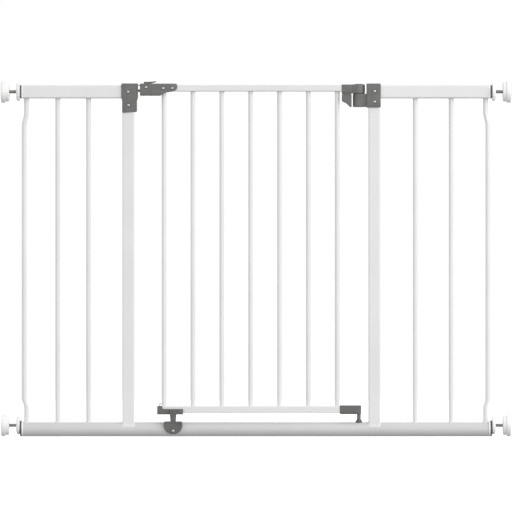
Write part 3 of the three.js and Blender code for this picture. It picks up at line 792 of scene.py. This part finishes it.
def rivet(node):
    """A blind rivet: a domed head with the pulled stem's dimple, at the front and the back."""
    low, high = extent(node)
    x, z = (low.x + high.x) / 2, (low.z + high.z) / 2
    top = high.y
    head, shank, dome = 3.4, 1.95, 1.7
    half = [(0, -top + 0.9), (0.75, -top + 0.9), (0.85, -top + 0.15), (1.2, -top), (1.9, -top + 0.25),
            (2.7, -top + 0.7), (3.2, -top + 1.15), (head, -top + dome - 0.15), (head, -top + dome),
            (shank, -top + dome)]
    profile = half + [(r, -along) for r, along in reversed(half)]
    place(turned(f"{node}_fine", profile, (x, 0, z), "Y", steps=40), STEEL, [node], "steel")


def upright_pin(node):
    low, high = extent(node)
    radius = (high.x - low.x) / 2
    chamfer = 0.7
    profile = [(0, low.z), (radius - chamfer, low.z), (radius, low.z + chamfer),
               (radius, high.z - chamfer), (radius - chamfer, high.z), (0, high.z)]
    place(turned(f"{node}_fine", profile, (HINGE_X, 0, 0), "Z", steps=48), DARK_STEEL, [node], "steel")


def recess(x, z, y_face, toward, radius=4.7, depth=0.45):
    """A shallow round seat in a face, for a rivet's head."""
    inner = y_face - toward * depth
    outer = y_face + toward * 2
    return drill(x, z, radius, (min(inner, outer), max(inner, outer)), 40)


# ---------------------------------------------------------------- strike cover

POST_CLEAR = 12.65               # half width of the pockets that go round the posts
STRIKE_OUTLINE = [
    (-283.5, 685.5, 1.5), (-252.4, 687.8, 3.6), (-252.4, 712, 1),
    (-250.3, 718, 1), (-250.3, 747.7, 1.2), (-285.2, 747.7, 2.6), (-285.2, 716, 1), (-283.5, 712, 1),
]


def both_sides(node_name):
    """(node, how it faces, span of depth, rim radii) of the front and back halves of a cover."""
    for side, facing in (("front", -1), ("back", 1)):
        node = node_name.format(side)
        low, high = extent(node)
        rims = (1.3, 0.25) if facing < 0 else (0.25, 1.3)
        yield node, facing, (low.y, high.y), rims


def strike_cover():
    post_right = extent("latch_post")[1].x
    for node, facing, span, rims in both_sides("strike_cover_{}"):
        obj = slab(f"{node}_fine", STRIKE_OUTLINE, span, rims)
        face = span[0] if facing < 0 else span[1]
        tools = [
            block((-300, -POST_CLEAR, 600), (post_right + 0.3, POST_CLEAR, RAIL_HIGH.z + 0.3)),
            block((-251.8, -6, 719.5), (-248, 6, 746.2)),
            block((post_right - 1, -4.6, 728.8), (-248, 4.6, 737)),
            block((-253.9, face - 0.8, 719), (-253.0, face + 0.8, 746)),
        ]
        for i in (1, 2):
            centre = middle(f"strike_rivet_{i}")
            tools.append(drill(centre.x, centre.z, RIVET_HOLE))
            tools.append(recess(centre.x, centre.z, face, facing))
        cut(obj, *tools)
        place(obj, GREY, [node], "grey_plastic")


# ---------------------------------------------------------------- hinge

BRACKET_OUTLINE = [
    (234.4, 696.8, 1.6), (264.2, 696.8, 2.2), (264.2, 747.5, 2.2), (234.4, 747.5, 1.4),
]


def hinge_bracket():
    post_left = extent("hinge_post")[0].x
    for node, facing, span, rims in both_sides("hinge_bracket_{}"):
        obj = slab(f"{node}_fine", BRACKET_OUTLINE, span, rims)
        face = span[0] if facing < 0 else span[1]
        radius, bottom, top = 12.6, 698.0, 726.0
        knuckle = turned("knuckle", [
            (0, bottom), (radius - 1.2, bottom), (radius, bottom + 1.2), (radius, top - 0.8),
            (radius - 0.8, top), (0, top)], (HINGE_X, 0, 0), "Z", steps=96)
        reach = max(-span[0], span[1]) - 0.02
        web = slab("web", [
            (HINGE_X, -radius + 0.02), (HINGE_X + 14.3, -radius + 0.02, 3), (237, -reach), (241, -reach),
            (241, reach), (237, reach), (HINGE_X + 14.3, radius - 0.02, 3), (HINGE_X, radius - 0.02)],
            (bottom + 0.3, top - 0.1), (0.6, 0.6), axis="Z")
        join(obj, cut(knuckle, other_half(facing)), cut(web, other_half(facing)))
        tools = [
            block((post_left - 0.3, -POST_CLEAR, 600), (280, POST_CLEAR, RAIL_HIGH.z + 0.3)),
            upright_way(HINGE_X, 4.15, 700.2, 730),
            block((237.6, face - 0.6, 700.6), (262, face + 0.6, 701.2)),
        ]
        for i in (1, 2):
            centre = middle(f"hinge_rivet_{i}")
            tools.append(drill(centre.x, centre.z, RIVET_HOLE))
            tools.append(recess(centre.x, centre.z, face, facing))
        cut(obj, *tools)
        place(obj, GREY, [node], "grey_plastic")


def hinge_washer():
    """A thin dark washer between the bracket's knuckle and the door's barrel."""
    inner, outer, bottom, top = 4.6, 11.4, 726.1, 726.9
    profile = [(inner, bottom), (outer - 0.2, bottom), (outer, bottom + 0.2), (outer, top - 0.2),
               (outer - 0.2, top), (inner, top)]
    obj = turned("hinge_washer", profile + profile[:1], (HINGE_X, 0, 0), "Z", steps=64)
    place(obj, DARK, ["hinge_bracket_front"], "grey_plastic")


def other_half(facing):
    """A block that takes away everything on the far side of the middle plane."""
    return block((-600, 0, -10), (600, 100, 900)) if facing < 0 else block((-600, -100, -10), (600, 0, 900))


def door_knuckle():
    """The arm on the end of the door's top rail, its barrel over the pin, and the hanging tab."""
    node = "door_hinge_knuckle"
    radius, bottom, top = 12.9, 727.0, 745.6
    obj = slab(f"{node}_fine", [(181.6, bottom, 1), (HINGE_X, bottom), (HINGE_X, top), (181.6, top, 1.2)],
               (-11, 11), (1.4, 1.4))
    barrel = turned("barrel", [
        (0, bottom), (radius - 0.8, bottom), (radius, bottom + 0.8), (radius, top - 1.6),
        (radius - 0.5, top - 0.4), (radius - 1.8, top + 0.5), (8.5, top + 1.3), (4, top + 1.65),
        (0, top + 1.7)], (HINGE_X, 0, 0), "Z", steps=96)
    tab = slab("tab", [
        (182, 723.6, 0.6), (202.6, 723.6, 0.6), (202.6, 698, 0.8), (200, 698, 1.2), (191, 706.3, 4),
        (182, 710.4, 4)], (-11, 11), (1.2, 1.2))
    neck = block((182.8, -9.4, 722.6), (202.2, 9.4, bottom + 1), 0.4)
    tongue = block((162, -8.6, 733.0), (183, 8.6, 743.0), 0.4)
    join(obj, barrel, tab, neck, tongue)
    cut(obj, upright_way(HINGE_X, 4.3, bottom - 1, 745),
        block((204.2, -12, 727.9), (205.0, -10.3, 744.4)))
    place(obj, GREY, [node], "grey_plastic")


def lower_block():
    node = "lower_pivot_block"
    low, high = extent(node)
    left, right, half = 178.0, high.x, high.y
    plan = [(left, -half, 0.8), (right, -half, 9), (right, half, 9), (left, half, 0.8)]
    obj = slab(f"{node}_fine", plan, (low.z, high.z), (1.2, 1.4), "Z")
    bottom_rail = middle("door_bottom_rail").z
    tongue = block((158.2, -8.6, bottom_rail - 5.1), (left + 1, 8.6, bottom_rail + 5.1), 0.4)
    join(obj, tongue)
    pin_top = extent("lower_pivot_pin")[1].z
    cut(obj, turned("bore", [(0, low.z - 1), (4.15, low.z - 1), (4.15, pin_top + 0.3), (0, pin_top + 0.3)],
                    (HINGE_X, 0, 0), "Z", steps=48),
        turned("dish", [(0, high.z - 0.6), (5.4, high.z - 0.6), (6.0, high.z + 1), (0, high.z + 1)],
               (HINGE_X, 0, 0), "Z", steps=48))
    # The darker nylon on the pivot block is painted shade.
    place(obj, SHADED_GREY_NYLON, [node], "grey_plastic")


def lower_bush():
    node = "lower_pivot_bush"
    low, high = extent(node)
    bore, collar, spigot = 4.3, 7.3, 5.1
    profile = [(bore, low.z), (spigot, low.z), (spigot, 27.6), (collar, 27.6), (collar, 31.6), (6.8, 32.6),
               (5.8, 33.3), (5.15, 34.2), (4.95, 35.5), (4.95, high.z - 0.3), (4.7, high.z), (bore, high.z)]
    obj = turned(f"{node}_fine", profile, (HINGE_X, 0, 0), "Z", steps=64)
    # The darker nylon on the bush is painted shade.
    place(obj, SHADED_GREY_NYLON, [node], "grey_plastic")


# ---------------------------------------------------------------- latch

LATCH_OUTLINE = [
    (-245.8, 722.2, 1.0), (-203.6, 722.2, 1.5), (-190.5, 729.2, 3), (-172.5, 731.6, 5),
    (-166.9, 736.6, 4), (-166.9, 747.4, 4.5), (-245.8, 747.4, 1.2),
]


def latch_cover():
    pivot = middle("lever_pivot_rivet")
    rail_low, rail_high = extent("door_top_rail")
    bar_x = middle("door_bar_1").x
    for node, facing, span, rims in both_sides("latch_cover_{}"):
        obj = slab(f"{node}_fine", LATCH_OUTLINE, span, rims)
        face = span[0] if facing < 0 else span[1]
        lip = block((-249.9, -4, 743.2), (-244, 4, 744.8), 0.3)
        join(obj, cut(lip, other_half(facing)))
        tools = [
            block((rail_low.x - 0.3, -10.8, rail_low.z - 0.3), (-150, 10.8, rail_high.z + 0.3)),
            upright_way(bar_x, 5.3, 700, rail_high.z),
            block((-244, -4.4, 723.8), (-204.5, 4.4, 734)),
            block((-246.5, -4.4, 729.6), (-243, 4.4, 735.8)),
            block((-243.6, -5.3, 733.4), (-221.5, 5.3, 750)),
            block((-243.9, face - 0.5, 723.9), (-205.0, face + 0.5, 724.5)),
        ]
        for centre in (pivot, middle("latch_rivet_1"), middle("latch_rivet_2")):
            tools.append(drill(centre.x, centre.z, RIVET_HOLE))
            tools.append(recess(centre.x, centre.z, face, facing))
        cut(obj, *tools)
        place(obj, GREY, [node], "grey_plastic")


def thumb_lever():
    """The lever: a thumb plate with grip ribs that rises to its tail, an eye and a foot."""
    node = "thumb_lever"
    pivot = middle("lever_pivot_rivet")
    x, z = pivot.x, pivot.z
    half = 5.0
    head = [(x - 4.6, z), (x + 4.6, z), (x + 7.5, z + 7, 2), (x + 10.8, z + 8.6, 3),
            (x + 21.2, z + 11.3, 0.8), (x + 21.2, z + 13.2, 0.9), (x + 9, z + 12, 8), (x - 4.9, z + 12, 1.6)]
    obj = slab(f"{node}_fine", head, (-half, half), (0.9, 0.9))
    eye = turned("eye", [
        (0, -half), (4.7, -half), (5.2, -half + 0.5), (5.2, half - 0.5), (4.7, half), (0, half)],
        (x, 0, z), "Y", steps=56)
    foot_end, foot_width = 725.5, 2
    foot = slab("foot", [
        (x - foot_width, foot_end, 1.9), (x + foot_width, foot_end, 1.9), (x + foot_width, z),
        (x - foot_width, z)], (-1.6, 1.6), (0.2, 0.2))
    join(obj, eye, foot)
    ribs = [turned("groove", [(0, -half + 1), (0.45, -half + 1), (0.45, half - 1), (0, half - 1)],
                   (x + 11.5 + 2.2 * i, 0, z + 12.75 + 0.12 * i), "Y", steps=16) for i in range(4)]
    cut(obj, drill(x, z, RIVET_HOLE), *ribs)
    place(obj, GREY, [node], "grey_plastic")


def latch_bolt():
    node = "latch_bolt"
    low, high = extent(node)
    shoulder, top = -243.7, 733.4
    obj = slab(f"{node}_fine", [
        (shoulder, low.z, 0.5), (high.x, low.z, 0.5), (high.x, top, 0.5), (shoulder, top, 0.5)],
               (low.y, high.y), (0.4, 0.4))
    nose = slab("nose", [
        (low.x, 730, 1.2), (shoulder + 1, 730), (shoulder + 1, top - 0.3), (shoulder + 0.1, top - 0.1),
        (shoulder + 0.1, high.z, 0.4), (low.x, high.z, 1.6)], (low.y, high.y), (0.4, 0.4))
    join(obj, nose)
    cut(obj, block((-240.4, -2.1, low.z - 1), (-230.6, 2.1, high.z + 1)))
    place(obj, DARK_STEEL, [node], "steel")


def latch_spring():
    """The coil behind the bolt."""
    node = "latch_spring"
    low, high = extent(node)
    wire, turns, steps, sides = 0.38, 3, 40, 10
    radius = (high.z - low.z) / 2 - 0.45
    centre = middle(node)
    rings = []
    count = turns * steps
    for k in range(count + 1):
        angle = FULL_TURN * k / steps
        x = low.x + wire + (high.x - low.x - 2 * wire) * k / count
        radial = Vector((0, math.cos(angle), math.sin(angle)))
        here = Vector((x, 0, centre.z)) + radial * radius
        ring = []
        for i in range(sides):
            turn = FULL_TURN * i / sides
            ring.append(here + radial * wire * math.cos(turn) + Vector((wire * math.sin(turn), 0, 0)))
        rings.append(ring)
    bm = bmesh.new()
    skin(bm, rings)
    obj = place(to_object(f"{node}_fine", bm), STEEL, [node], "steel")
    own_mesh(obj)


# ---------------------------------------------------------------- stop

def stop_bracket():
    """The stop: a clip on the bottom rail, a ribbed stem and a rimmed half-round plate."""
    node = "stop_bracket"
    low, high = extent(node)
    centre = middle("stop_rivet")
    x = centre.x
    rail_low, rail_high = extent("door_bottom_rail")
    rail_front, rail_back = rail_low.y - 0.3, rail_high.y + 0.5
    rail_end = rail_low.x - 0.3
    left, right, bottom, face = low.x, high.x, 46.6, -15.2
    arm = [(left, bottom, 1), (right, bottom, 1), (right, 58.1, 1), (-198.4, 58.1, 5.6),
           (-198.4, 64.2, 1), (left, 64.2, 1.4)]
    obj = slab(f"{node}_fine", arm, (face, rail_front), (0.9, 0.2))
    disc_top, disc_half = 32.2, 19.6
    disc_z, arc_steps = 24.7, 40
    disc = [(x + disc_half, disc_top, 3.0), (x - disc_half, disc_top, 3.0)]
    for k in range(arc_steps + 1):
        angle = math.pi * (1 + k / arc_steps)
        disc.append((x + disc_half * math.cos(angle), disc_z + disc_half * math.sin(angle)))
    half_disc = slab("half_disc", disc, (low.y, -16.6), (1.5, 0.3), steps=5)
    pocket = slab("pocket", inset(disc, 2.9), (low.y - 1, low.y + 0.8), (0.1, 0.5))
    boss = turned("boss", [(0, low.y + 0.1), (4.6, low.y + 0.1), (5.2, low.y + 0.9), (5.2, -17), (0, -17)],
                  (x, 0, centre.z), "Y", steps=48)
    stem = slab("stem", [
        (x - 5.7, disc_top - 2), (x + 5.7, disc_top - 2), (x + 6.9, bottom), (x + 6.9, 57, 1.5),
        (x - 6.9, 57, 1.5), (x - 6.9, bottom)], (low.y + 1.2, face + 1), (0.6, 0.2))
    rib = slab("rib", [
        (x - 1.6, disc_top - 3), (x + 1.6, disc_top - 3), (x + 1.6, 55.5, 1.4), (x - 1.6, 55.5, 1.4)],
               (low.y + 0.5, face), (0.6, 0.2))
    clip = block((left + 0.02, face + 0.5, bottom), (rail_end, rail_back, 64.2), 0.6)
    shelf = block((left + 0.02, face + 0.5, bottom), (right - 0.02, rail_back, rail_low.z - 0.3), 0.6)
    lug = join(block((-206, 3, 67), (rail_end, rail_back, high.z), 0.5),
               block((-205, 6, 60), (-203.2, rail_back, high.z - 1), 0.4))
    cut(half_disc, pocket)
    join(half_disc, boss)
    join(obj, clip, shelf, stem, rib, half_disc)
    cut(obj, drill(x, centre.z, 6.3, (-18.3, -10), 48), drill(x, centre.z, 1.9, (-30, -10)))
    # The darker nylon on the stop is painted shade.
    place(obj, SHADED_GREY_NYLON, [node], "grey_plastic")
    lug.name = "stop_lug"
    place(lug, IVORY, [node], "white_plastic")


def stop_rivet():
    node = "stop_rivet"
    low, high = extent(node)
    centre = middle(node)
    front, head = low.y + 1.3, 3.0
    profile = [(0, low.y + 0.5), (0.6, low.y + 0.5), (0.8, low.y), (1.6, low.y + 0.15), (2.5, low.y + 0.6),
               (head, front - 0.2), (head, front), (1.6, front), (1.6, high.y), (0, high.y)]
    obj = turned(f"{node}_fine", profile, (centre.x, 0, centre.z), "Y", steps=40)
    place(obj, STEEL, [node], "steel")


def stop_bumper():
    node = "stop_bumper"
    low, high = extent(node)
    centre = middle(node)
    radius = (high.x - low.x) / 2
    profile = [(1.9, low.y), (radius - 0.3, low.y), (radius, low.y + 0.3), (radius, high.y - 0.9),
               (radius - 0.4, high.y - 0.3), (radius - 1.2, high.y), (3.2, high.y), (2.6, high.y - 0.5),
               (1.9, high.y - 0.7)]
    obj = turned(f"{node}_fine", profile, (centre.x, 0, centre.z), "Y", steps=48)
    place(obj, RUBBER, [node], "rubber")


# ---------------------------------------------------------------- build

def build_gate():
    bottom_tube()
    for node in ("left_top_rail", "right_top_rail"):
        rail(node, RAIL_CORNER)
    for node in ("latch_post", "hinge_post"):
        post(node)
    for node in ("left_bar_1", "left_bar_2", "right_bar_1", "right_bar_2"):
        straight_bar(node, True)
    side_bar("left_side_bar", -1)
    side_bar("right_side_bar", 1)
    for node in ("door_top_rail", "door_bottom_rail"):
        rail(node, DOOR_CORNER)
    for i in range(1, 8):
        straight_bar(f"door_bar_{i}", False)
    all_welds()
    for level, side in CORNERS:
        threaded_rod(level, side)
        adjuster_wheel(level, side)
        wall_pad(level, side)
        end_plug(level, side)
    strike_cover()
    hinge_bracket()
    hinge_washer()
    door_knuckle()
    lower_block()
    lower_bush()
    latch_cover()
    thumb_lever()
    latch_bolt()
    latch_spring()
    stop_bracket()
    stop_rivet()
    stop_bumper()
    for node in ("strike_rivet_1", "strike_rivet_2", "hinge_rivet_1", "hinge_rivet_2",
                 "lever_pivot_rivet", "latch_rivet_1", "latch_rivet_2"):
        rivet(node)
    for node in ("upper_hinge_pin", "lower_pivot_pin"):
        upright_pin(node)


# ---------------------------------------------------------------- floor, light and camera

CAMERA_HEIGHT = 0.3822           # metres, about half the gate's height
LIGHT_AIM = 0.38                 # metres, the height that the lights point at


def add_floor():
    """A pale floor that shows the gate's shadow but throws no light back up at it."""
    half = 3
    mesh = bpy.data.meshes.new("floor")
    corners = [(-half, -half, 0), (half, -half, 0), (half, half, 0), (-half, half, 0)]
    mesh.from_pydata(corners, [], [(0, 1, 2, 3)])
    mesh.materials.append(floor_finish())
    obj = bpy.data.objects.new("floor", mesh)
    bpy.context.scene.collection.objects.link(obj)
    obj.visible_diffuse = False
    obj.visible_glossy = False


def add_light(name, kind, location, power, softness):
    """A soft light aimed at the middle of the gate; `softness` is a width, or a sun's angle."""
    data = bpy.data.lights.new(name, kind)
    if kind == "SUN":
        data.angle = softness
    else:
        data.size = softness
    data.energy = power
    obj = bpy.data.objects.new(name, data)
    obj.location = location
    aim = Vector((0, 0, LIGHT_AIM)) - Vector(location)
    obj.rotation_euler = aim.to_track_quat("-Z", "Y").to_euler()
    bpy.context.scene.collection.objects.link(obj)


def add_world(seen, above, below):
    """A white studio. `seen` is its brightness in view, which differs from what lights the gate.

    The light on the gate is `above` over the horizon and falls to `below` straight down.
    """
    world = bpy.data.worlds.new("studio")
    world.use_nodes = True
    tree = world.node_tree
    background = tree.nodes["Background"]
    background.inputs["Color"].default_value = (1, 1, 1, 1)
    coordinates = tree.nodes.new("ShaderNodeTexCoord")
    height = tree.nodes.new("ShaderNodeSeparateXYZ")
    sky = tree.nodes.new("ShaderNodeMapRange")
    path = tree.nodes.new("ShaderNodeLightPath")
    choice = tree.nodes.new("ShaderNodeMix")
    for name, value in (("From Min", -1.0), ("From Max", 0.0), ("To Min", below), ("To Max", above)):
        sky.inputs[name].default_value = value
    choice.inputs[3].default_value = seen
    tree.links.new(coordinates.outputs["Generated"], height.inputs["Vector"])
    tree.links.new(height.outputs["Z"], sky.inputs["Value"])
    tree.links.new(path.outputs["Is Camera Ray"], choice.inputs["Factor"])
    tree.links.new(sky.outputs["Result"], choice.inputs[2])
    tree.links.new(choice.outputs[0], background.inputs["Strength"])
    bpy.context.scene.world = world


def add_light_and_camera():
    add_world(1.02, 0.84, 0.25)
    add_light("front", "SUN", (1.4, -2.4, 1.2), 0.60, math.radians(60))
    add_light("key", "AREA", (2.8, -1.2, 1.6), 26, 1.4)
    bpy.context.scene.view_settings.view_transform = "Standard"
    data = bpy.data.cameras.new("camera")
    distance, view_width = 12.0, 1.0854       # metres, the width as seen at the gate's middle plane
    data.lens = data.sensor_width * distance / view_width
    camera = bpy.data.objects.new("camera", data)
    camera.location = (0, -distance, CAMERA_HEIGHT)
    camera.rotation_euler = (math.pi / 2, 0, 0)
    bpy.context.scene.collection.objects.link(camera)
    bpy.context.scene.camera = camera


build_gate()
add_floor()
add_light_and_camera()
